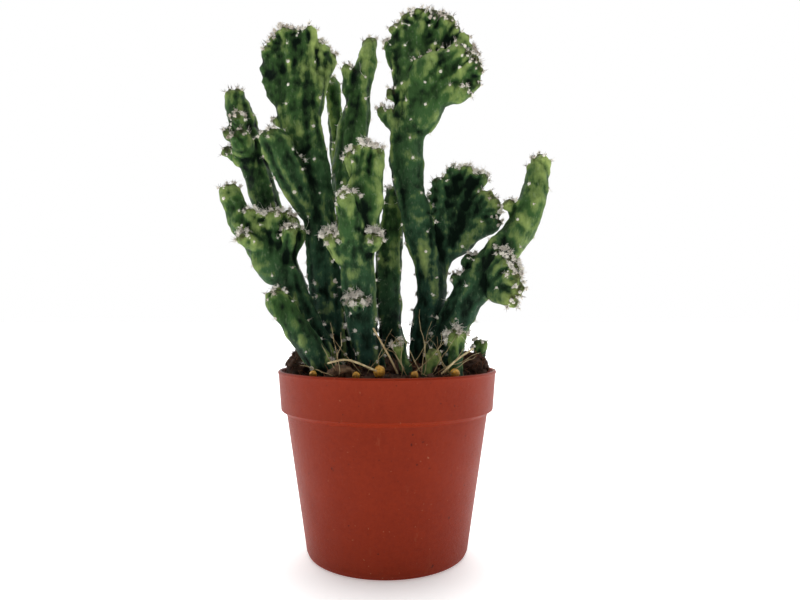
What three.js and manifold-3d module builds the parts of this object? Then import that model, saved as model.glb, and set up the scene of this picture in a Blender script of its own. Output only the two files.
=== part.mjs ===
// A clump of crested cactus stems in a 12 cm plastic nursery pot.
// Millimetres, +Z up. The origin is the centre of the pot's underside.
import * as THREE from 'three';
import { mergeVertices } from 'three/addons/utils/BufferGeometryUtils.js';
import Module from 'manifold-3d';

const wasm = await Module();
wasm.setup();

// Driving dimensions.
const GAP = 0.3;
const POT = {
  height: 99,
  rimRadius: 60,
  collarHeight: 21,
  collarRadius: 58,
  collarStep: 2,
  shoulderRadius: 55,
  baseRadius: 44,
  edgeRound: 3,
  wall: 1.4,
  lip: 1,
};
const DRAIN = { count: 6, radius: 4, ring: 27 };
const SOIL = { edgeHeight: 96, mound: 6 };
const FOOT = 88;
const STRAW_RADIUS = 0.5;
const PLEAT = 1;
const POT_SIDES = 96;
const SOIL_SIDES = 48;

// ---- solids -------------------------------------------------------------

function toSolid(geometry) {
  const bare = geometry.clone();
  bare.deleteAttribute('normal');
  bare.deleteAttribute('uv');
  const merged = mergeVertices(bare, 1e-4);
  return new wasm.Manifold(new wasm.Mesh({
    numProp: 3,
    vertProperties: new Float32Array(merged.attributes.position.array),
    triVerts: new Uint32Array(merged.index.array),
  }));
}

function toGeometry(solid) {
  const mesh = solid.getMesh();
  const geometry = new THREE.BufferGeometry();
  geometry.setAttribute('position', new THREE.BufferAttribute(mesh.vertProperties, 3));
  geometry.setIndex(new THREE.BufferAttribute(mesh.triVerts, 1));
  geometry.computeVertexNormals();
  return geometry;
}

function join(solids) {
  return solids.reduce((all, solid) => all.add(solid));
}

// ---- plant limbs --------------------------------------------------------

// Reads a list of values spread evenly from 0 to 1.
function along(values, share) {
  const place = share * (values.length - 1);
  const low = Math.min(Math.floor(place), values.length - 2);
  return THREE.MathUtils.lerp(values[low], values[low + 1], place - low);
}

// A limb is a capsule bent along a smooth curve. Girth is a list of radii spread evenly along it,
// flat is its depth at the tip as a share of its width there, and back is the way that depth runs.
function limb(path, girth, { flat = 1, around = 10, rings = 8, back = [0, 1, 0] } = {}) {
  return (grow) => {
    const curve = new THREE.CatmullRomCurve3(path.map((p) => new THREE.Vector3(...p)));
    const mean = girth.reduce((sum, r) => sum + r, 0) / girth.length;
    const straight = Math.max(curve.getLength() - 2 * mean, 1);
    const geometry = new THREE.CapsuleGeometry(mean, straight, 2, around, rings);
    const half = straight / 2 + mean;
    const points = geometry.attributes.position;
    const behind = new THREE.Vector3(...back);
    for (let i = 0; i < points.count; i += 1) {
      const t = THREE.MathUtils.clamp((points.getY(i) / half + 1) / 2, 0, 1);
      const radius = along(girth, t);
      const ahead = curve.getTangentAt(t);
      const side = new THREE.Vector3().crossVectors(behind, ahead).normalize();
      const depth = new THREE.Vector3().crossVectors(ahead, side);
      const widen = (radius + grow) / mean;
      const deepen = (radius * THREE.MathUtils.lerp(1, flat, t) + grow) / mean;
      const lengthen = grow * (2 * t - 1);
      const spot = curve.getPointAt(t)
        .addScaledVector(side, points.getX(i) * widen)
        .addScaledVector(depth, -points.getZ(i) * deepen)
        .addScaledVector(ahead, lengthen);
      points.setXYZ(i, spot.x, spot.y, spot.z);
    }
    return toSolid(geometry);
  };
}

// A bud or short arm is a limb with one root and one tip.
function bud(root, tip, radius) {
  const middle = root.map((v, axis) => (v + tip[axis]) / 2);
  return limb([root, middle, tip], [radius * 0.7, radius, radius * 0.7], { around: 8, rings: 3 });
}

// A crest is a fan of narrow lobes about a neck, with a pleat between each two. Angles are in
// degrees from +X towards +Z. The lobes start a drop below the neck, inside the stem, and bend
// outward. Lean is how far the rim stands back, and turn swings the fan's outer end forward about
// the upright through its neck.
function crest(neck, { from, to, reach, lobes, width = 6, lean = 0, turn = 0, drop = 20 }) {
  const swing = THREE.MathUtils.degToRad(turn);
  const back = new THREE.Vector3(Math.sin(swing), Math.cos(swing), 0);
  return Array.from({ length: lobes }, (_, i) => {
    const share = i / (lobes - 1);
    const length = along(reach, share);
    const angle = THREE.MathUtils.degToRad(THREE.MathUtils.lerp(from, to, share));
    const step = i % 2 === 0 ? PLEAT : -PLEAT;
    const out = new THREE.Vector3(Math.cos(swing), -Math.sin(swing), 0)
      .multiplyScalar(Math.cos(angle) * length)
      .addScaledVector(back, lean + step);
    out.z = Math.sin(angle) * length;
    const at = (part) => new THREE.Vector3(...neck).addScaledVector(out, part).toArray();
    const root = [neck[0], neck[1], neck[2] - drop];
    return limb([root, at(0.4), at(1)], [width, width * 1.5, width * 1.1, width * 0.9], {
      flat: 0.8,
      around: 8,
      rings: 5,
      back: back.toArray(),
    });
  });
}

// ---- the stems, each from its foot in the soil to its tip ------------------

const stems = {
  tall_stem: [
    limb(
      [[20, 0, FOOT], [20, 0, 115], [25, 0, 145], [15, 0, 185], [10, 0, 215], [15, 0, 265]],
      [8, 8, 9, 9, 10, 9],
      { rings: 12, flat: 0.6 },
    ),
    ...crest([15, 0, 250], { from: 110, to: 35, reach: [40, 55, 55, 50, 45], lobes: 10, lean: 5 }),
    ...crest([15, 0, 250], { from: 75, to: 0, reach: [20, 30, 40, 40, 30], lobes: 8, lean: -10 }),
    bud([10, 0, 230], [-5, 0, 245], 5),
    bud([10, 0, 250], [0, 0, 255], 3),
    limb([[20, 0, 145], [30, 5, 160], [35, 5, 175]], [7, 8, 9], { rings: 4 }),
    ...crest([35, 5, 170], { from: 110, to: 65, reach: [30, 45, 45], lobes: 5, width: 5, drop: 10 }),
    ...crest([35, 5, 170], { from: 50, to: 20, reach: [35, 35, 30], lobes: 4, width: 5, lean: -5, drop: 10 }),
  ],
  left_stem: [
    limb([[-25, 5, FOOT], [-35, 5, 140], [-40, 5, 190], [-50, 5, 260]], [9, 9, 10, 9], { flat: 0.6 }),
    ...crest([-50, 5, 245], { from: 145, to: 85, reach: [25, 40, 50, 50], lobes: 8 }),
    ...crest([-50, 5, 245], { from: 80, to: 65, reach: [45, 40], lobes: 3, lean: 5 }),
    bud([-50, 5, 235], [-65, 5, 240], 4),
    limb([[-40, 5, 180], [-55, -5, 210], [-65, -10, 230]], [6, 9, 9], { rings: 5 }),
  ],
  slim_stem: [
    limb([[-15, 20, FOOT], [-25, 25, 170], [-35, 30, 275]], [6, 6, 5]),
  ],
  centre_stem: [
    limb([[-10, 10, FOOT], [-20, 10, 175], [-20, 10, 240], [-10, 10, 290]], [7, 9, 10, 4]),
    bud([-20, 10, 250], [-25, 10, 275], 5),
  ],
  far_left_stem: [
    limb([[-30, 15, FOOT], [-55, 15, 145], [-75, 15, 205], [-90, 10, 260]], [7, 8, 9, 8]),
    bud([-85, 10, 230], [-95, 10, 235], 4),
    bud([-80, 10, 215], [-95, 10, 225], 4),
    bud([-85, 10, 235], [-85, -5, 240], 4),
    bud([-80, 10, 220], [-85, -5, 230], 6),
  ],
  left_crest_stem: [
    limb([[-25, -10, FOOT], [-45, -10, 125], [-60, -10, 165]], [8, 9, 8], { flat: 0.7 }),
    ...crest([-60, -10, 155], { from: 130, to: 55, reach: [40, 30, 30, 25], lobes: 7, width: 5, drop: 10 }),
    limb([[-60, -5, 155], [-80, -5, 180], [-90, -5, 200]], [6, 7, 6], { rings: 5 }),
    bud([-65, -15, 165], [-80, -15, 170], 4),
    bud([-55, -10, 160], [-50, -20, 175], 5),
  ],
  low_left_stem: [
    limb([[-25, -25, FOOT], [-45, -25, 120], [-60, -25, 140]], [6, 7, 7]),
  ],
  front_stem: [
    limb([[-5, -20, FOOT], [-15, -20, 140], [-15, -25, 175], [-10, -25, 205]], [7, 8, 10, 8], { flat: 0.7 }),
    ...crest([-10, -25, 190], { from: 110, to: 75, reach: [25, 30, 25], lobes: 4, width: 5 }),
    bud([-15, -25, 160], [-20, -35, 190], 8),
    bud([-15, -20, 150], [-30, -30, 170], 6),
    bud([-10, -25, 165], [-5, -35, 165], 6),
    bud([-15, -20, 130], [-15, -35, 135], 5),
  ],
  middle_stem: [
    limb([[5, 15, FOOT], [0, 15, 145], [5, 15, 205]], [7, 8, 7]),
  ],
  right_stem: [
    limb(
      [[25, -10, FOOT], [35, -10, 125], [60, -10, 160], [75, -10, 180], [85, -10, 215]],
      [8, 9, 10, 8, 6],
    ),
    ...crest([55, -15, 145], { from: 60, to: -30, reach: [20, 20], lobes: 6, width: 5, turn: 50, drop: 0 }),
    bud([75, -10, 180], [65, -10, 190], 4),
    bud([55, -5, 150], [40, -5, 160], 6),
    bud([45, -10, 140], [35, -10, 150], 4),
  ],
  pup_a: [limb([[35, -30, FOOT], [35, -30, 105], [35, -30, 120]], [4, 4], { rings: 3 })],
  pup_b: [limb([[10, -35, FOOT], [10, -35, 100], [5, -35, 115]], [3, 3], { rings: 3 })],
  pup_c: [limb([[20, -35, FOOT], [20, -35, 100], [25, -35, 110]], [3, 3], { rings: 3 })],
  pup_d: [limb([[50, -10, FOOT], [50, -10, 105], [50, -10, 115]], [4, 4], { rings: 3 })],
};
const BRIGHT_STEMS = ['front_stem', 'slim_stem'];

// ---- pot and soil ---------------------------------------------------------

// Turns a closed profile of [radius, height] points about the upright axis.
function turned(points, segments) {
  const profile = points.map(([radius, height]) => new THREE.Vector2(radius, height));
  return new THREE.LatheGeometry(profile, segments).rotateX(Math.PI / 2);
}

function potWall() {
  const { height, rimRadius, wall, lip, baseRadius, edgeRound } = POT;
  const collarFoot = height - POT.collarHeight;
  return turned([
    [0, 0],
    [baseRadius - edgeRound, 0],
    [baseRadius - edgeRound * 0.3, edgeRound * 0.3],
    [baseRadius, edgeRound],
    [POT.shoulderRadius, collarFoot - POT.collarStep],
    [POT.collarRadius, collarFoot],
    [rimRadius - lip / 2, height - 2 * lip],
    [rimRadius, height - lip],
    [rimRadius - lip / 2, height],
    [rimRadius - wall - lip / 2, height],
    [POT.collarRadius - wall, collarFoot + wall],
    [POT.shoulderRadius - wall, collarFoot - POT.collarStep],
    [baseRadius - wall, edgeRound],
    [baseRadius - wall - 1, wall],
    [0, wall],
  ], POT_SIDES);
}

function makePot() {
  let pot = toSolid(potWall());
  for (let i = 0; i < DRAIN.count; i += 1) {
    const angle = (i / DRAIN.count) * Math.PI * 2;
    const drill = new THREE.CylinderGeometry(DRAIN.radius, DRAIN.radius, POT.wall * 4, 16);
    drill.rotateX(Math.PI / 2);
    drill.translate(Math.cos(angle) * DRAIN.ring, Math.sin(angle) * DRAIN.ring, 0);
    pot = pot.subtract(toSolid(drill));
  }
  return pot;
}

function soilHeight(radius) {
  const share = Math.min(radius / (POT.collarRadius - POT.wall), 1);
  return SOIL.edgeHeight + SOIL.mound * Math.cos((share * Math.PI) / 2);
}

// Heaps on the soil, as centre x, centre y and radius.
const HEAPS = [[-43, -8, 12], [44, -14, 10]];

function makeSoil() {
  const { wall, baseRadius, edgeRound } = POT;
  const collarFoot = POT.height - POT.collarHeight;
  const inside = wall + GAP;
  const top = [1, 0.8, 0.6, 0.4, 0.2].map((share) => {
    const radius = (POT.collarRadius - inside) * share;
    return [radius, soilHeight(radius)];
  });
  const body = toSolid(turned([
    [0, inside],
    [baseRadius - inside - wall, inside],
    [baseRadius - inside - GAP, edgeRound + GAP],
    [POT.shoulderRadius - inside - GAP, collarFoot - POT.collarStep],
    [POT.collarRadius - inside - GAP, collarFoot + inside],
    ...top,
    [0, soilHeight(0)],
  ], SOIL_SIDES));
  const heaps = HEAPS.map(([x, y, radius]) => {
    const heap = new THREE.SphereGeometry(radius, 16, 8);
    heap.translate(x, y, soilHeight(Math.hypot(x, y)));
    return toSolid(heap);
  });
  return join([body, ...heaps]);
}

// ---- what lies on the soil --------------------------------------------------

function barkLump(grow) {
  const lump = new THREE.DodecahedronGeometry(6 + grow, 1);
  lump.scale(1.1, 0.8, 0.7);
  lump.translate(-22, -40, soilHeight(Math.hypot(22, 40)) + 2);
  return toSolid(lump);
}

// Prills, as centre x, centre y and radius.
const PRILLS = [[-3, -46, 3], [-36, -38, 2], [34, -39, 2.5], [-14, -48, 2], [14, -47, 2]];

function prill([x, y, radius]) {
  const bead = new THREE.SphereGeometry(radius, 10, 7);
  bead.rotateX(Math.PI / 2);
  bead.translate(x, y, soilHeight(Math.hypot(x, y)) + radius + GAP);
  return toSolid(bead);
}

const STRAWS = [
  [[-28, -44, 105], [-18, -50, 107], [-4, -53, 102]],
  [[6, -45, 100], [2, -46, 108], [-6, -44, 122]],
  [[27, -46, 100], [33, -48, 106], [43, -40, 112]],
];

function straw(path) {
  const curve = new THREE.CatmullRomCurve3(path.map((p) => new THREE.Vector3(...p)));
  const section = new THREE.Shape().absarc(0, 0, STRAW_RADIUS, 0, Math.PI * 2, false);
  return toSolid(new THREE.ExtrudeGeometry(section, {
    curveSegments: 3,
    steps: 8,
    bevelEnabled: false,
    extrudePath: curve,
  }));
}

// ---- assembly ---------------------------------------------------------------

function finish(colour, roughness) {
  return new THREE.MeshStandardMaterial({ color: colour, roughness, metalness: 0 });
}

const skin = finish(0x2f5a3c, 0.6);
const brightSkin = finish(0x4a7a3e, 0.6);
const plastic = finish(0x8f3a22, 0.65);
const peat = finish(0x2b1b14, 0.95);
const bark = finish(0x6b4a2c, 0.9);
const fertiliser = finish(0xc9a23a, 0.5);
const dryGrass = finish(0xb59a6a, 0.8);

const plant = new THREE.Group();

function place(name, solid, material) {
  const mesh = new THREE.Mesh(toGeometry(solid), material);
  mesh.name = name;
  plant.add(mesh);
}

// Each stem is cut back by the ones before it, so that neighbours touch with a small gap.
const grown = [];
for (const [name, limbs] of Object.entries(stems)) {
  let solid = join(limbs.map((make) => make(0)));
  for (const neighbour of grown) {
    solid = solid.subtract(neighbour);
  }
  grown.push(join(limbs.map((make) => make(GAP))));
  place(name, solid, BRIGHT_STEMS.includes(name) ? brightSkin : skin);
}

let soil = makeSoil();
let lump = barkLump(0);
for (const stem of grown) {
  soil = soil.subtract(stem);
  lump = lump.subtract(stem);
}
soil = soil.subtract(barkLump(GAP));

place('pot', makePot(), plastic);
place('potting_soil', soil, peat);
place('bark_lump', lump, bark);
PRILLS.forEach((spot, i) => place(`prill_${i + 1}`, prill(spot), fertiliser));
STRAWS.forEach((path, i) => place(`straw_${i + 1}`, straw(path), dryGrass));

export default plant;
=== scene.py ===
import heapq
import math
import random

import bmesh
import bpy
import numpy as np
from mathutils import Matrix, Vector, kdtree, noise


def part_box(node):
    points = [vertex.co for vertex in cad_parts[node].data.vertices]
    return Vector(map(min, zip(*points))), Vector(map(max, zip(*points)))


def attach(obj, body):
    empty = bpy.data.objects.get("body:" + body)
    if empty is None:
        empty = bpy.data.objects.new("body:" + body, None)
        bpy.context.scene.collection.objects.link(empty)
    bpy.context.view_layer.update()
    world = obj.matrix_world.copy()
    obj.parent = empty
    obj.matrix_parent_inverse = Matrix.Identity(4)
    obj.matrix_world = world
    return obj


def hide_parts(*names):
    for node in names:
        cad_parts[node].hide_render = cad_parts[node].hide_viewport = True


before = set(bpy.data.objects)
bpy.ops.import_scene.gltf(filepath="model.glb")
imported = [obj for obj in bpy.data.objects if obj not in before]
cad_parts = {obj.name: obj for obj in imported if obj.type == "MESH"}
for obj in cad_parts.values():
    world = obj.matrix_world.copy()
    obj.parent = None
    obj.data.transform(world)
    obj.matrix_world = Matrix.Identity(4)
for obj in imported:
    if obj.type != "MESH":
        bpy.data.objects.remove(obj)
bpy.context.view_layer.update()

MM = 0.001


# ---- Pot --------------------------------------------------------------------
# A thin nursery pot, injection moulded in brown-red plastic with a deep stacking
# collar and drain holes. Its surface is matte, with faint specks and handling scuffs.

POT_RED = (0.290, 0.028, 0.006, 1)
POT_DARK = (0.205, 0.017, 0.004, 1)
POT_SCUFF = (0.430, 0.150, 0.080, 1)
POT_SPECK = (0.060, 0.008, 0.004, 1)
MOULD_EDGE = 0.35 * MM
SHARP = math.radians(28)
WELD = 0.002 * MM


class Value:
    """A number on a shader socket, so that shader maths reads as Python."""

    def __init__(self, paint, socket):
        self.paint = paint
        self.socket = socket

    def _maths(self, operation, *values):
        node = self.paint.add("ShaderNodeMath", {"operation": operation}, dict(enumerate(values)))
        return node.out(0)

    def __add__(self, other):
        return self._maths("ADD", self, other)

    def __sub__(self, other):
        return self._maths("SUBTRACT", self, other)

    def __mul__(self, other):
        return self._maths("MULTIPLY", self, other)

    __radd__ = __add__
    __rmul__ = __mul__

    def clipped(self):
        return self._maths("MINIMUM", self._maths("MAXIMUM", self, 0.0), 1.0)


class Step:
    """One shader node."""

    def __init__(self, paint, node):
        self.paint = paint
        self.node = node

    def out(self, name):
        return Value(self.paint, self.node.outputs[name])


class Paint:
    """The shading of a material or world, built up node by node."""

    def __init__(self, owner):
        owner.use_nodes = True
        self.owner = owner
        self.tree = owner.node_tree

    def place(self, kind="Object"):
        return self.add("ShaderNodeTexCoord").out(kind)

    def link(self, value, socket):
        if isinstance(value, Value):
            self.tree.links.new(value.socket, socket)
        else:
            socket.default_value = value

    def add(self, kind, settings=None, inputs=None):
        node = self.tree.nodes.new(kind)
        for key, value in (settings or {}).items():
            if key == "stops":
                for stop, (at, level) in zip(node.color_ramp.elements, value):
                    stop.position = at
                    stop.color = (level, level, level, 1)
            else:
                setattr(node, key, value)
        for key, value in (inputs or {}).items():
            self.link(value, node.inputs[key])
        return Step(self, node)

    def grain(self, scale, detail=4.0, rough=0.6, along=(1, 1, 1), low=0.35, high=0.65):
        where = self.add("ShaderNodeMapping", None, {"Vector": self.place(), "Scale": along})
        cloud = self.add(
            "ShaderNodeTexNoise",
            None,
            {"Vector": where.out("Vector"), "Scale": scale, "Detail": detail, "Roughness": rough},
        )
        ramp = {"stops": [(low, 0.0), (high, 1.0)]}
        return self.add("ShaderNodeValToRGB", ramp, {"Fac": cloud.out("Fac")}).out("Color")

    def blend(self, amount, first, second):
        inputs = {"Factor": amount, 6: first, 7: second}
        return self.add("ShaderNodeMix", {"data_type": "RGBA"}, inputs).out(2)

    def mark(self, name):
        return self.add("ShaderNodeAttribute", {"attribute_name": name}).out("Fac")

    def finish(self, colour, roughness, height=None, depth=0.0003, **constants):
        shader = self.tree.nodes["Principled BSDF"]
        self.link(colour, shader.inputs["Base Color"])
        self.link(roughness, shader.inputs["Roughness"])
        for key, value in constants.items():
            shader.inputs[key.replace("_", " ")].default_value = value
        if height is not None:
            bump = self.add("ShaderNodeBump", None, {"Height": height, "Distance": depth})
            self.link(bump.out("Normal"), shader.inputs["Normal"])
        return self.owner


def painted(name):
    return Paint(bpy.data.materials.new(name))


def pot_plastic():
    paint = painted("pot_plastic")
    clouds = paint.grain(28, low=0.3, high=0.7)
    mottle = paint.grain(420, detail=8, rough=0.85, low=0.38, high=0.62)
    scuffs = paint.grain(160, detail=8, rough=0.75, along=(1, 1, 0.35), low=0.60, high=0.74)
    dark_specks = paint.grain(430, detail=1, low=0.745, high=0.775)
    pale_specks = paint.grain(650, detail=1, low=0.755, high=0.785)
    colour = paint.blend(clouds * 0.4 + mottle * 0.5, POT_RED, POT_DARK)
    colour = paint.blend(scuffs * 0.25, colour, POT_SCUFF)
    colour = paint.blend(dark_specks * 0.8, colour, POT_SPECK)
    colour = paint.blend(pale_specks * 0.6, colour, POT_SCUFF)
    rough = 0.42 + scuffs * 0.2 + clouds * 0.08
    return paint.finish(colour, rough, mottle - dark_specks, 0.00008, Specular_IOR_Level=0.1)


pot_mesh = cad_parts["pot"].data.copy()
form = bmesh.new()
form.from_mesh(pot_mesh)
bmesh.ops.remove_doubles(form, verts=form.verts, dist=WELD)
for face in form.faces:
    face.smooth = True
for edge in form.edges:
    edge.smooth = len(edge.link_faces) != 2 or edge.calc_face_angle(0) < SHARP
form.to_mesh(pot_mesh)
form.free()
pot_mesh.materials.clear()
pot_mesh.materials.append(pot_plastic())
shell = bpy.data.objects.new("pot_shell", pot_mesh)
bpy.context.scene.collection.objects.link(shell)
rounding = shell.modifiers.new("moulded_edges", "BEVEL")
rounding.width = MOULD_EDGE
rounding.segments = 3
rounding.limit_method = "ANGLE"
rounding.angle_limit = SHARP
rounding.harden_normals = True
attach(shell, "root")
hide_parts("pot")


# ---- Stems -------------------------------------------------------------------
# Water-filled cactus stems with a waxy skin. Low ribs run up each stem from its
# foot, and multiply into pleats where the growing tip has spread into a crest.

FOOT_BAND = 2.5 * MM
FOOT_SHARE = 0.3
STEM_RIBS = 5
RIB_SPACING = 13 * MM
RIB_DEPTH = 0.9 * MM
PLEAT_DEPTH = 0.75 * MM
AREOLE_SPACING = 10.5 * MM
CREST_AREOLE_SPACING = 2.4 * MM
CREST_BAND = 7 * MM
TUBERCLE = 1.0 * MM
STEM_VOXEL = 0.8 * MM
TUBERCLE_WIDTH = 2.1 * MM
TUBERCLE_STEM = 0.7
TUBERCLE_CREST = 1.3
SOFTEN_SHARE = 0.5
SOFTEN_ROUNDS = 14
HEIGHT_ROUNDS = 12
TURN_ROUNDS = 60
PATCH_ROUNDS = 40
SPREAD_ROUNDS = 40
RIM_ROUNDS = 4
RIB_ROUNDS = 10
YOUTH_ROUNDS = 4
SHORTEST = 0.1 * MM
TINY = 1e-9
OUTWARD = 0.46
RIM_WIDTH = 1.6 * STEM_VOXEL
MOST_DOUBLINGS = 2.999
RIB_TOP = 0.8
RIB_LEVEL = 0.3
RIB_FADE = 0.7
FOOT_CROWDING = 0.65
UNEVEN = ((9 * MM, 0.8 * MM), (16 * MM, 1.4 * MM), (3.5 * MM, 0.45 * MM))
FOLD_SPACING = 3.6 * MM
FOLD_WIDTH = 0.55 * FOLD_SPACING
FOLD_DEPTH = 1.7 * MM
FOLD_LEVEL = 0.6
FOLD_REACH = 24 * MM
HUMP_ROUNDS = 24
HUMP_HEIGHT = 0.7 * MM
# Weights of the stems' colour mark: painted shade in furrows and hollows, painted light on ribs,
# bumps and swellings, and a paler tone along the crests.
TONE_LEVEL = 0.34
SHADE_HUMP = 0.30
SHADE_RIB = 0.12
TONE_CREST = 0.10
SHADE_UNEVEN = 70
STEM_NODES = [
    name for name in sorted(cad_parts) if name.endswith("_stem") or name.startswith("pup_")
]
# The darkest skin colour is near-black painted shade. The palest is partly painted light and
# partly the skin's own yellow-green.
SKIN_DARK_AND_SHADE = (0.002, 0.008, 0.004, 1)
SKIN_MIDDLE = (0.054, 0.128, 0.034, 1)
SKIN_PALE_AND_LIT = (0.400, 0.520, 0.150, 1)
SKIN_OLD = (0.028, 0.080, 0.054, 1)
SKIN_WAXY = (0.380, 0.460, 0.290, 1)
SKIN_CORK = (0.030, 0.022, 0.012, 1)


class Skin:
    """A surface as arrays, with averages taken between neighbouring points."""

    def __init__(self, mesh):
        count = len(mesh.vertices)
        self.points = self.read(mesh, "co")
        self.normals = self.read(mesh, "normal")
        pairs = np.empty(len(mesh.edges) * 2, int)
        mesh.edges.foreach_get("vertices", pairs)
        self.start, self.end = pairs.reshape(-1, 2).T
        self.length = np.linalg.norm(self.points[self.start] - self.points[self.end], axis=1)
        self.links = [[] for _ in range(count)]
        edges = zip(self.start.tolist(), self.end.tolist(), self.length.tolist())
        for start, end, length in edges:
            self.links[start].append((end, length))
            self.links[end].append((start, length))
        self.degree = np.bincount(np.concatenate((self.start, self.end)), minlength=count)
        self.ring = np.tile(np.arange(count)[:, None], (1, self.degree.max()))
        for i, links in enumerate(self.links):
            self.ring[i, : len(links)] = [j for j, _ in links]
        self.own = (self.ring.shape[1] - self.degree).astype(float)

    @staticmethod
    def read(mesh, what):
        values = np.empty(len(mesh.vertices) * 3)
        mesh.vertices.foreach_get(what, values)
        return values.reshape(-1, 3)

    def average(self, values, rounds):
        values = np.array(values)
        for _ in range(rounds):
            total = values[self.ring].sum(1)
            extra = ((self.own - 1) * values.T).T
            values = ((total - extra).T / (1 + self.degree)).T
        return values

    def reach(self, starts):
        """The distance over the skin from the nearest start."""
        far = np.full(len(self.points), np.inf)
        queue = [(0.0, int(i)) for i in starts]
        far[starts] = 0
        heapq.heapify(queue)
        while queue:
            here, i = heapq.heappop(queue)
            if here > far[i]:
                continue
            for j, length in self.links[i]:
                if here + length < far[j]:
                    far[j] = here + length
                    heapq.heappush(queue, (far[j], j))
        far[np.isinf(far)] = far[np.isfinite(far)].max()
        return far


def smooth_copy(node, voxel):
    """A fine, softened copy of a plain node's solid."""
    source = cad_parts[node]
    copy = bpy.data.objects.new(node + "_form", source.data.copy())
    bpy.context.scene.collection.objects.link(copy)
    remesh = copy.modifiers.new("remesh", "REMESH")
    remesh.mode = "VOXEL"
    remesh.voxel_size = voxel
    soften = copy.modifiers.new("soften", "SMOOTH")
    soften.factor = SOFTEN_SHARE
    soften.iterations = SOFTEN_ROUNDS
    bpy.context.view_layer.update()
    graph = bpy.context.evaluated_depsgraph_get()
    mesh = bpy.data.meshes.new_from_object(copy.evaluated_get(graph))
    bpy.data.objects.remove(copy)
    return mesh


def growth(skin):
    """How far each point has grown from the foot, and its place around the stem."""
    points = skin.points
    foot = np.flatnonzero(points[:, 2] < points[:, 2].min() + FOOT_BAND)
    height = skin.average(skin.reach(foot), HEIGHT_ROUNDS)
    centre = points[foot].mean(0)
    turn = np.zeros(len(points), complex)
    seed = points - centre
    turn[foot] = np.exp(1j * np.arctan2(seed[foot, 1], seed[foot, 0]))
    rooted = set(foot.tolist())
    level = height.tolist()
    for i in np.argsort(height).tolist():
        if i in rooted:
            continue
        below = [j for j, _ in skin.links[i] if level[j] < level[i]]
        total = sum((level[i] - level[j]) * turn[j] for j in below)
        size = abs(total)
        if size > 0:
            turn[i] = total / size
        else:
            turn[i] = np.exp(1j * math.atan2(seed[i, 1], seed[i, 0]))
    turn = skin.average(turn, TURN_ROUNDS)
    return height, turn / np.maximum(np.abs(turn), TINY)


def crest_rim(skin, height):
    """The distance from each point to the nearest place where the growth ends.

    The way of growth lies along the skin, except on tips and crest edges: there it runs in from
    all sides, and its average over a patch points straight out of the skin."""
    here = skin.points[:, None]
    step = skin.points[skin.ring] - here
    far = np.maximum((step**2).sum(2), SHORTEST**2)
    rise = height[skin.ring] - height[:, None]
    way = (step * (rise / far)[:, :, None]).sum(1)
    way /= np.maximum(np.linalg.norm(way, axis=1), TINY)[:, None]
    way = skin.average(way, PATCH_ROUNDS)
    way /= np.maximum(np.linalg.norm(way, axis=1), TINY)[:, None]
    ends = (way * skin.normals).sum(1) > OUTWARD
    ends |= height == height.max()
    return skin.average(skin.reach(np.flatnonzero(ends)), RIM_ROUNDS)


def ribs(skin, turn):
    """Ribs from 1 on a crest to -1 in a furrow, doubling in number where they spread apart."""
    step = np.abs(np.angle(turn[skin.start] * np.conj(turn[skin.end]))) / skin.length
    total = np.zeros(len(turn))
    np.add.at(total, skin.start, step)
    np.add.at(total, skin.end, step)
    spread = skin.average(total / skin.degree, SPREAD_ROUNDS)
    apart = 2 * np.pi / (STEM_RIBS * np.maximum(spread, 1))
    octave = np.clip(np.log2(apart / RIB_SPACING), 0, MOST_DOUBLINGS)
    low = np.floor(octave)
    share = octave - low
    angle = np.angle(turn) * STEM_RIBS
    first = np.cos(angle * 2**low)
    second = np.cos(angle * 2 ** (low + 1))
    return first * (1 - share) + second * share, octave


def pleats(skin, rim, dice):
    """Folds that fan out to a crest's edge: 1 along each fold, 0 in the furrow between two."""
    edge = np.flatnonzero(rim < RIM_WIDTH).tolist()
    dice.shuffle(edge)
    seeds = []
    for i in edge:
        point = Vector(skin.points[i])
        if all((point - q).length > FOLD_SPACING for q in seeds):
            seeds.append(point)
    if len(seeds) < 2:
        return np.full(len(rim), 0.5)
    finder = kdtree.KDTree(len(seeds))
    for k, seed in enumerate(seeds):
        finder.insert(seed, k)
    finder.balance()
    found = [finder.find_n(Vector(p), 2) for p in skin.points]
    gap = np.array([second[2] - first[2] for first, second in found])
    fold = np.clip(gap / FOLD_WIDTH, 0, 1)
    return skin.average(fold * (2 - fold), 2)


def areoles(skin, rib, rim, youth, dice):
    """Points on the rib crests, close together at the foot and closest along a crest's rim."""
    order = np.flatnonzero((rib > RIB_TOP) | (rim < CREST_BAND * 0.5)).tolist()
    dice.shuffle(order)
    order.sort(key=lambda i: -round(float(rib[i]), 1))
    cells = {}
    chosen = []
    for i in order:
        point = skin.points[i]
        near = min(rim[i] / CREST_BAND, 1)
        stem_gap = AREOLE_SPACING * (FOOT_CROWDING if youth[i] < FOOT_SHARE else 1)
        gap = CREST_AREOLE_SPACING + (stem_gap - CREST_AREOLE_SPACING) * near**2
        cell = tuple((point // AREOLE_SPACING).astype(int))
        around = [
            q
            for x in (-1, 0, 1)
            for y in (-1, 0, 1)
            for z in (-1, 0, 1)
            for q in cells.get((cell[0] + x, cell[1] + y, cell[2] + z), ())
        ]
        if all(np.linalg.norm(point - q) > gap for q in around):
            cells.setdefault(cell, []).append(point)
            chosen.append(i)
    return chosen


def cloud(points, size, seed):
    shift = Vector((seed, seed * 0.7, seed * 1.3))
    return np.array([noise.noise(Vector(p) / size + shift) for p in points])


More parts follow.
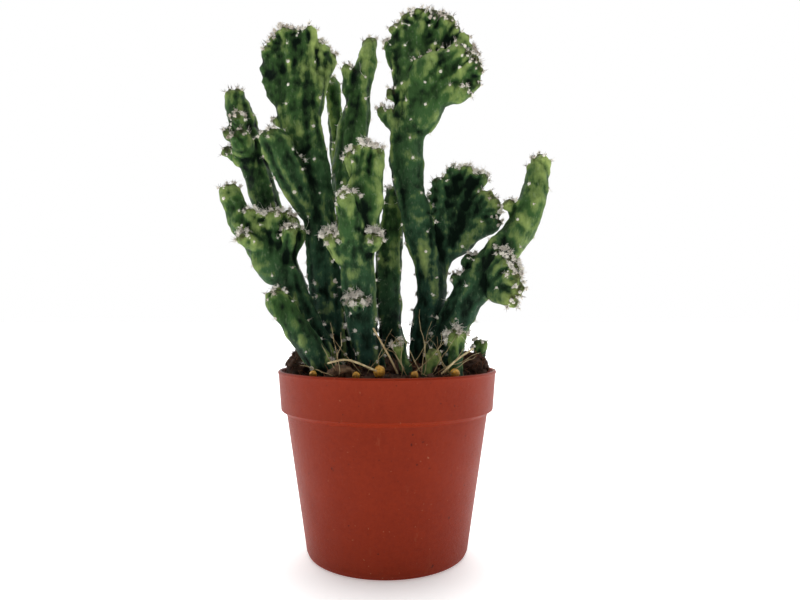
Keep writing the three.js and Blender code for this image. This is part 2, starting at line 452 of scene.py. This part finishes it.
def stem_skin(name, brightness):
    paint = painted(name)
    # Reads the stems' mark of painted shade and light from their relief.
    shade_and_tone = paint.mark("shade_and_tone")
    youth = paint.mark("youth")
    streaks = paint.grain(260, detail=6, along=(1, 1, 0.22), low=0.38, high=0.66)
    patches = paint.grain(60, detail=6, rough=0.65, along=(1, 1, 0.6), low=0.42, high=0.66)
    pores = paint.grain(1500, detail=5, rough=0.7, low=0.3, high=0.7)
    mottle = paint.grain(420, detail=8, rough=0.8, along=(1, 1, 0.45), low=0.36, high=0.64)
    specks = paint.grain(700, detail=5, rough=0.7, along=(1, 1, 0.5), low=0.56, high=0.68)
    # Mixes towards near-black painted shade where the relief mark is low, and towards pale
    # yellow-green, partly painted light, where it is high. The noise layers add the skin's own
    # mottling.
    low = (shade_and_tone * 2.4 + streaks * 0.35 + mottle * 0.45 + (brightness - 0.62)).clipped()
    vivid = patches * 0.7 + streaks * 0.3 + mottle * 0.3 + youth * 0.25
    high = (shade_and_tone * 1.7 + vivid + (brightness - 1.42)).clipped()
    young = (youth * 1.6 - 0.25).clipped()
    colour = paint.blend(low, SKIN_DARK_AND_SHADE, paint.blend(young, SKIN_OLD, SKIN_MIDDLE))
    colour = paint.blend(high, colour, SKIN_PALE_AND_LIT)
    colour = paint.blend(specks * low * 0.3, colour, SKIN_WAXY)
    cork = (paint.mark("rim") * 2.2 + paint.grain(380, detail=4) * 0.9 - 1.75).clipped()
    colour = paint.blend(cork * 0.8, colour, SKIN_CORK)
    rough = 0.44 + streaks * 0.16
    relief = pores * 0.4 + mottle * 0.35 + streaks * 0.25
    return paint.finish(colour, rough, relief, 0.0006, Specular_IOR_Level=0.06)


DARK_SKIN = stem_skin("stem_skin", -0.12)
BRIGHT_SKIN = stem_skin("bright_skin", 0.0)
BRIGHT_STEMS = ("slim_stem", "front_stem")
tuft_places = {}

for number, name in enumerate(STEM_NODES):
    dice = random.Random(number + 11)
    mesh = smooth_copy(name, STEM_VOXEL)
    skin = Skin(mesh)
    height, turn = growth(skin)
    rim = crest_rim(skin, height)
    crease, octave = ribs(skin, turn)
    rib = skin.average(crease, RIB_ROUNDS)
    youth = skin.average(height / height.max(), YOUTH_ROUNDS)
    spots = areoles(skin, crease, rim, youth, dice)

    tree = kdtree.KDTree(len(spots))
    for i in spots:
        tree.insert(Vector(skin.points[i]), i)
    tree.balance()
    near = np.array([tree.find(Vector(p))[2] for p in skin.points])
    lump = np.exp(-((near / TUBERCLE_WIDTH) ** 2))
    crest = np.clip(1 - rim / CREST_BAND, 0, 1)
    depth = RIB_DEPTH + (PLEAT_DEPTH - RIB_DEPTH) * np.clip(octave, 0, 1)
    uneven = 0.0
    for layer, (size, swell) in enumerate(UNEVEN):
        uneven = uneven + cloud(skin.points, size, number + 40 * layer) * swell
    folds = pleats(skin, rim, dice)
    folded = np.clip(1 - rim / FOLD_REACH, 0, 1)
    rise = (rib * (1 - RIB_FADE * folded) - RIB_LEVEL) * depth + uneven
    rise += lump * TUBERCLE * (TUBERCLE_STEM + TUBERCLE_CREST * crest)
    rise += (folds - FOLD_LEVEL) * FOLD_DEPTH * folded

    shaped = skin.points + skin.normals * rise[:, None]
    mesh.vertices.foreach_set("co", shaped.ravel())
    # Painted shade and light from the relief: the colour mark falls where the skin dips in, and
    # rises where it bulges out, swells or runs onto a rib. It also rises near a crest.
    hump = ((shaped - skin.average(shaped, HUMP_ROUNDS)) * skin.normals).sum(1) / HUMP_HEIGHT
    shade_and_tone = TONE_LEVEL + SHADE_HUMP * np.clip(hump, -1, 1) + SHADE_UNEVEN * uneven
    shade_and_tone += SHADE_RIB * rib + TONE_CREST * crest
    marks = {"shade_and_tone": np.clip(shade_and_tone, 0, 1), "youth": youth, "rim": crest}
    for key, values in marks.items():
        mesh.attributes.new(key, "FLOAT", "POINT").data.foreach_set("value", values)
    mesh.polygons.foreach_set("use_smooth", [True] * len(mesh.polygons))
    mesh.materials.clear()
    mesh.materials.append(BRIGHT_SKIN if name in BRIGHT_STEMS else DARK_SKIN)
    mesh.update()

    stem = bpy.data.objects.new(name + "_flesh", mesh)
    bpy.context.scene.collection.objects.link(stem)
    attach(stem, "root")
    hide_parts(name)
    "bright_skin" if name in BRIGHT_STEMS else "stem_skin"
    tuft_places[name] = [(shaped[i], skin.normals[i], crest[i], youth[i]) for i in spots]


# ---- Wool and spines -----------------------------------------------------------
# Each areole is a small cushion of cream wool with curling hairs and a few fine
# spines. Along the crests the cushions crowd into a woolly edge with dark thorns.

WOOL_WHITE = (0.95, 0.90, 0.80, 1)
WOOL_BROWN = (0.36, 0.25, 0.16, 1)
BALL_RINGS = 4
BALL_SIDES = 6
PAD_RADIUS = 0.8 * MM
PAD_FLATNESS = 0.6
LUMPS = 6
LUMP_FLATNESS = 0.8
FEWEST_HAIRS = 3
MORE_HAIRS = 16
HAIR_RADIUS = 0.11 * MM
HAIR_LENGTH = 2.4 * MM
HAIR_STEPS = 5
HAIR_BEND = 1.1
WOOL_SPREAD = 0.9
SPINE_LENGTH = 3.2 * MM
SPINE_RADIUS = 0.9 * HAIR_RADIUS
SPINE_SPREAD = 0.35
THORN_BLACK = (0.012, 0.008, 0.005, 1)
THORN_BROWN = (0.110, 0.060, 0.030, 1)
THORN_LENGTH = 2.6 * MM
THORN_RADIUS = 0.16 * MM
THORN_SPREAD = 0.5
THORNY = 0.4
THREAD_LENGTH = 10 * MM
THREAD_CHANCE = 0.05
THREAD_STEPS = 8
THREAD_BEND = 0.3
THREAD_SPREAD = 1.2
WOOL_PATCH = 16 * MM
WOOL_SHARE = 0.6
PATCH_SHARE = 2.2
FOOT_WOOL = 0.7
WOOLLY = {
    "front_stem": 1.1,
    "left_crest_stem": 0.7,
    "left_stem": 0.3,
    "right_stem": 0.5,
    "pup_a": 1.0,
}


class Heap:
    """Many small loose shapes gathered into one mesh."""

    def __init__(self):
        self.points = []
        self.faces = []

    def strand(self, path, thickness, taper=0.3):
        """A closed three-sided thread along a path."""
        start = len(self.points)
        last = len(path) - 1
        for k, point in enumerate(path):
            ahead = path[min(k + 1, last)] - path[max(k - 1, 0)]
            side = ahead.orthogonal().normalized()
            up = ahead.cross(side).normalized()
            width = thickness * (1 - (1 - taper) * k / last)
            for turn in range(3):
                angle = turn * math.tau / 3
                offset = side * math.cos(angle) + up * math.sin(angle)
                self.points.append(tuple(point + offset * width))
        for k in range(last):
            for turn in range(3):
                a = start + 3 * k + turn
                b = start + 3 * k + (turn + 1) % 3
                self.faces.append((a, b, b + 3, a + 3))
        end = start + 3 * last
        self.faces.append((start + 2, start + 1, start))
        self.faces.append((end, end + 1, end + 2))

    def clump(self, centre, normal, radius, flat, dice, rough):
        """A lumpy pebble or pad, lying flat against a surface."""
        start = len(self.points)
        turn = Vector(normal).to_track_quat("Z", "Y")
        for x, y, z in BALL_POINTS:
            swell = radius * (1 + dice.uniform(-rough, rough))
            self.points.append(tuple(Vector(centre) + turn @ Vector((x, y, z * flat)) * swell))
        self.faces.extend(tuple(start + i for i in face) for face in BALL_FACES)

    def build(self, name, material):
        mesh = bpy.data.meshes.new(name)
        mesh.from_pydata(self.points, [], self.faces)
        mesh.polygons.foreach_set("use_smooth", [True] * len(mesh.polygons))
        mesh.materials.append(material)
        piece = bpy.data.objects.new(name, mesh)
        bpy.context.scene.collection.objects.link(piece)
        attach(piece, "root")


def ball(rings, sides):
    points = [(0.0, 0.0, -1.0)]
    for ring in range(1, rings):
        lift = math.pi * ring / rings
        for side in range(sides):
            angle = math.tau * side / sides
            flat = math.sin(lift)
            points.append((flat * math.cos(angle), flat * math.sin(angle), -math.cos(lift)))
    points.append((0.0, 0.0, 1.0))
    faces = []
    for side in range(sides):
        after = (side + 1) % sides
        faces.append((0, 1 + after, 1 + side))
        for ring in range(rings - 2):
            a = 1 + ring * sides
            faces.append((a + side, a + after, a + sides + after, a + sides + side))
        top = 1 + (rings - 2) * sides
        faces.append((top + side, top + after, len(points) - 1))
    return points, faces


BALL_POINTS, BALL_FACES = ball(BALL_RINGS, BALL_SIDES)


def wool():
    paint = painted("wool")
    stain = paint.grain(90, low=0.48, high=0.72)
    colour = paint.blend(stain * 0.75, WOOL_WHITE, WOOL_BROWN)
    return paint.finish(colour, 0.9 + stain * 0.05, paint.grain(3000), 0.0001, Sheen_Weight=0.3)


def loose_direction(normal, dice, spread):
    bend = Vector((dice.gauss(0, 1), dice.gauss(0, 1), dice.gauss(0, 1)))
    return (Vector(normal) + bend * spread).normalized()


def curl(start, heading, length, steps, dice, bend):
    path = [Vector(start)]
    for _ in range(steps):
        path.append(path[-1] + heading * length / steps)
        heading = loose_direction(heading, dice, bend)
    return path


def thorn():
    paint = painted("thorn")
    bands = paint.grain(600, detail=3)
    return paint.finish(paint.blend(bands, THORN_BLACK, THORN_BROWN), 0.55 + bands * 0.1)


WOOL = wool()
THORN = thorn()
for number, (name, places) in enumerate(tuft_places.items()):
    dice = random.Random(number + 101)
    fluff = Heap()
    thorns = Heap()
    for place, normal, crest, youth in places:
        patch = noise.noise(Vector(place) / WOOL_PATCH)
        plenty = max(0.0, crest * (WOOL_SHARE + WOOLLY.get(name, 0) + PATCH_SHARE * patch))
        if youth < FOOT_SHARE:
            plenty = max(plenty, FOOT_WOOL * dice.random())
        size = PAD_RADIUS * dice.uniform(0.7, 1.3)
        fluff.clump(place, normal, size, PAD_FLATNESS, dice, rough=0.3)
        for _ in range(int(LUMPS * plenty)):
            heading = loose_direction(normal, dice, WOOL_SPREAD)
            spot = Vector(place) + heading * dice.uniform(0.5, 1.8) * MM
            lump_size = size * dice.uniform(0.5, 0.9)
            fluff.clump(spot, heading, lump_size, LUMP_FLATNESS, dice, rough=0.4)
        for _ in range(FEWEST_HAIRS + int(MORE_HAIRS * plenty)):
            heading = loose_direction(normal, dice, WOOL_SPREAD)
            length = HAIR_LENGTH * dice.uniform(0.5, 1.3) * (0.8 + 0.5 * plenty)
            thick = HAIR_RADIUS * (1 + 0.6 * min(plenty, 1))
            fluff.strand(curl(place, heading, length, HAIR_STEPS, dice, HAIR_BEND), thick)
        for _ in range(dice.choice((1, 2, 3))):
            heading = loose_direction(normal, dice, SPINE_SPREAD)
            end = Vector(place) + heading * SPINE_LENGTH * dice.uniform(0.6, 1.2)
            fluff.strand([Vector(place), end], SPINE_RADIUS, taper=0.15)
        if dice.random() < THREAD_CHANCE:
            heading = loose_direction(normal, dice, THREAD_SPREAD)
            length = THREAD_LENGTH * dice.uniform(0.5, 1)
            thread = curl(place, heading, length, THREAD_STEPS, dice, THREAD_BEND)
            fluff.strand(thread, HAIR_RADIUS)
        if crest > THORNY:
            for _ in range(dice.choice((2, 3, 4))):
                heading = loose_direction(normal, dice, THORN_SPREAD)
                end = Vector(place) + heading * THORN_LENGTH * dice.uniform(0.6, 1.3)
                thorns.strand([Vector(place), end], THORN_RADIUS, taper=0.2)
    fluff.build(name + "_wool", WOOL)
    thorns.build(name + "_thorns", THORN)


# ---- Soil ------------------------------------------------------------------------
# Dark peat, filled to just under the rim and heaped a little at the sides. Its top
# is loose: crumbs of many sizes, with reddish root fibres between them.

SOIL_VOXEL = 1.3 * MM
TOP_DEPTH = 8 * MM
FACING_UP = 0.3
CLOD_SIZE = 4 * MM
CLOD_HEIGHT = 2.0 * MM
GRIT_SIZE = 1.7 * MM
GRIT_HEIGHT = 0.8 * MM
CRUMBS = 3600
CRUMB_SMALLEST = 0.5 * MM
CRUMB_RANGE = 1.9 * MM
CRUMB_FLATNESS = 0.75
FIBRES = 760
FIBRE_STEPS = 5
FIBRE_BEND = 0.4
FIBRE_RADIUS = 0.22 * MM
HEAP_RISE = 1 * MM
HEAP_SHARE = 0.45
PEAT_DARK = (0.010, 0.006, 0.004, 1)
PEAT_BROWN = (0.170, 0.072, 0.034, 1)
FIBRE_RED = (0.480, 0.190, 0.075, 1)


def peat(name, first, second):
    paint = painted(name)
    clods = paint.grain(220, detail=8, rough=0.7)
    fine = paint.grain(1500, detail=6, rough=0.8)
    colour = paint.blend(clods * 0.5 + fine * 0.4, first, second)
    return paint.finish(colour, 0.88 + fine * 0.1, fine, 0.0005)


PEAT = peat("peat", PEAT_DARK, PEAT_BROWN)
soil_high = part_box("potting_soil")[1]
pot_low, pot_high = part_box("pot")
mesh = smooth_copy("potting_soil", SOIL_VOXEL)
ground = Skin(mesh)
surface = (ground.points[:, 2] > pot_high.z - TOP_DEPTH) & (ground.normals[:, 2] > FACING_UP)
clods = cloud(ground.points, CLOD_SIZE, 3) * CLOD_HEIGHT
grit = cloud(ground.points, GRIT_SIZE, 5) * GRIT_HEIGHT
ground.points[:, 2] += np.where(surface, clods + grit, 0)
mesh.vertices.foreach_set("co", ground.points.ravel())
mesh.polygons.foreach_set("use_smooth", [True] * len(mesh.polygons))
mesh.materials.clear()
mesh.materials.append(PEAT)
soil = bpy.data.objects.new("peat_bed", mesh)
bpy.context.scene.collection.objects.link(soil)
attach(soil, "root")
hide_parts("potting_soil")

dice = random.Random(7)
top_points = ground.points[surface]
heap_points = top_points[top_points[:, 2] > pot_high.z + HEAP_RISE]


def soil_spot(dice):
    """A place on the soil, often on one of its heaps."""
    places = heap_points if dice.random() < HEAP_SHARE else top_points
    return Vector(places[dice.randrange(len(places))])


crumbs = Heap()
for _ in range(CRUMBS):
    place = soil_spot(dice)
    radius = CRUMB_SMALLEST + CRUMB_RANGE * dice.random() ** 3
    heading = loose_direction((0, 0, 1), dice, 0.7)
    crumbs.clump(place, heading, radius, CRUMB_FLATNESS, dice, rough=0.35)
crumbs.build("peat_crumbs", PEAT)

fibres = Heap()
for _ in range(FIBRES):
    place = soil_spot(dice)
    heading = loose_direction((0, 0, 0.6), dice, 1.0)
    path = [place]
    for _ in range(FIBRE_STEPS):
        path.append(path[-1] + heading * dice.uniform(0.6, 1.8) * MM)
        heading = loose_direction(heading, dice, FIBRE_BEND)
    fibres.strand(path, FIBRE_RADIUS)
fibres.build("root_fibres", peat("root_fibre", FIBRE_RED, PEAT_BROWN))


# ---- Bark, fertiliser and straw ----------------------------------------------------
# A lump of bark and coated fertiliser prills lie on the soil, with a few dry grass
# straws. They are loose, and were mixed in or blown in after potting.

BARK_DARK = (0.060, 0.030, 0.014, 1)
BARK_PALE = (0.240, 0.140, 0.070, 1)
PRILL_YELLOW = (0.950, 0.500, 0.050, 1)
PRILL_BROWN = (0.480, 0.220, 0.030, 1)
STRAW_PALE = (0.720, 0.600, 0.330, 1)
STRAW_BROWN = (0.300, 0.190, 0.080, 1)
BARK_VOXEL = 0.5 * MM
PRILL_VOXEL = 0.28 * MM
BLADES = 22
BLADE_LENGTH = 34 * MM
BLADE_STEPS = 10
BLADE_BEND = 0.16
BLADE_RADIUS = 0.26 * MM
STRAY_HAIRS = 6
STRAY_LENGTH = 32 * MM
STRAY_STEPS = 12
STRAY_BEND = 0.12
STRAY_RADIUS = 0.07 * MM


def dressed(node, voxel, material, bump_height, bump_size):
    """A node's solid, made fine and given an uneven surface."""
    mesh = smooth_copy(node, voxel)
    skin = Skin(mesh)
    shift = cloud(skin.points, bump_size, 9) * bump_height
    skin.points += skin.normals * shift[:, None]
    mesh.vertices.foreach_set("co", skin.points.ravel())
    mesh.polygons.foreach_set("use_smooth", [True] * len(mesh.polygons))
    mesh.materials.clear()
    mesh.materials.append(material)
    piece = bpy.data.objects.new(node + "_piece", mesh)
    bpy.context.scene.collection.objects.link(piece)
    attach(piece, "root")
    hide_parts(node)


def mottled(name, first, second, scale, along, roughness):
    paint = painted(name)
    mottle = paint.grain(scale, detail=6, rough=0.7, along=along)
    colour = paint.blend(mottle, first, second)
    return paint.finish(colour, roughness + mottle * 0.1, mottle, 0.0003)


bark = mottled("bark", BARK_DARK, BARK_PALE, 260, (1, 1, 3), 0.85)
coating = mottled("fertiliser", PRILL_YELLOW, PRILL_BROWN, 400, (1, 1, 1), 0.4)
straw = mottled("dry_grass", STRAW_PALE, STRAW_BROWN, 300, (1, 1, 1), 0.7)
dressed("bark_lump", BARK_VOXEL, bark, 1.6 * MM, 2.5 * MM)
for name in sorted(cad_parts):
    if name.startswith("prill_"):
        dressed(name, PRILL_VOXEL, coating, 0.3 * MM, 1.2 * MM)
    if name.startswith("straw_"):
        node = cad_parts[name]
        node.data.materials.clear()
        node.data.materials.append(straw)

dice = random.Random(23)
clump_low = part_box("front_stem")[0]
blades = Heap()
for _ in range(BLADES):
    start = Vector((
        dice.uniform(clump_low.x, soil_high.x * 0.6),
        dice.uniform(pot_low.y + 12 * MM, pot_low.y + 24 * MM),
        pot_high.z,
    ))
    heading = Vector((dice.uniform(-1, 1), dice.uniform(-0.3, 0.1), dice.uniform(0.3, 1.3)))
    heading.normalize()
    length = BLADE_LENGTH * dice.uniform(0.5, 1)
    blades.strand(curl(start, heading, length, BLADE_STEPS, dice, BLADE_BEND), BLADE_RADIUS)
blades.build("dry_blades", straw)

hairs = Heap()
for _ in range(STRAY_HAIRS):
    start = Vector((pot_high.x - dice.uniform(3, 9) * MM, dice.uniform(-20, -5) * MM, pot_high.z))
    heading = Vector((dice.uniform(0.1, 1.0), -0.1, dice.uniform(0.1, 1.1))).normalized()
    length = STRAY_LENGTH * dice.uniform(0.6, 1)
    hairs.strand(curl(start, heading, length, STRAY_STEPS, dice, STRAY_BEND), STRAY_RADIUS)
hairs.build("stray_hairs", straw)


# ---- Floor, light and camera ---------------------------------------------------------
# A plain pale floor that runs far back, and faintly glows. Soft light comes from the
# sides, behind and above. The camera is level with the feet of the stems.

FLOOR_HALF = 60.0
FLOOR_PALE = (0.93, 0.93, 0.93, 1)
FLOOR_GLOW = 0.42
WORLD_WHITE = (1, 1, 1, 1)
FRONT_LIGHT = 0.05
BACK_LIGHT = 1.6
FRONT_EDGE = -0.5
BACK_EDGE = 0.35
SUN_STRENGTH = 1.7
SUN_SPREAD = math.radians(40)
SUN_TILT = math.radians(-14)
SENSOR_WIDTH = 36
LENS = 27
NEAREST = 0.01
CAMERA_PLACE = (7 * MM, -336 * MM, 125 * MM)
CAMERA_PITCH = math.radians(92.1)

floor_mesh = bpy.data.meshes.new("floor")
corners = [(x * FLOOR_HALF, y * FLOOR_HALF, 0) for x, y in ((-1, -1), (1, -1), (1, 1), (-1, 1))]
floor_mesh.from_pydata(corners, [], [(0, 1, 2, 3)])
glow = {"Emission_Color": FLOOR_PALE, "Emission_Strength": FLOOR_GLOW}
floor_mesh.materials.append(painted("floor").finish(FLOOR_PALE, 0.8, **glow))
floor = bpy.data.objects.new("floor", floor_mesh)
bpy.context.scene.collection.objects.link(floor)

world = bpy.data.worlds.new("studio")
sky = Paint(world)
across = sky.add("ShaderNodeSeparateXYZ", None, {"Vector": sky.place("Generated")}).out("Y")
limits = {
    "From Min": FRONT_EDGE,
    "From Max": BACK_EDGE,
    "To Min": FRONT_LIGHT,
    "To Max": BACK_LIGHT,
}
dome = sky.add("ShaderNodeMapRange", None, {"Value": across, **limits}).out("Result")
seen = sky.add("ShaderNodeLightPath").out("Is Camera Ray")
shown = sky.add("ShaderNodeMix", None, {"Factor": seen, "A": dome, "B": 1.0}).out("Result")
backdrop = sky.tree.nodes["Background"]
sky.link(shown, backdrop.inputs["Strength"])
sky.link(WORLD_WHITE, backdrop.inputs["Color"])
bpy.context.scene.world = world

overhead = bpy.data.lights.new("overhead", "SUN")
overhead.energy = SUN_STRENGTH
overhead.angle = SUN_SPREAD
lamp = bpy.data.objects.new("overhead", overhead)
lamp.rotation_euler = (SUN_TILT, 0, 0)
bpy.context.scene.collection.objects.link(lamp)

lens = bpy.data.cameras.new("camera")
lens.sensor_width = SENSOR_WIDTH
lens.lens = LENS
lens.clip_start = NEAREST
camera = bpy.data.objects.new("camera", lens)
camera.location = CAMERA_PLACE
camera.rotation_euler = (CAMERA_PITCH, 0, 0)
bpy.context.scene.collection.objects.link(camera)
bpy.context.scene.camera = camera
bpy.context.scene.view_settings.view_transform = "Standard"
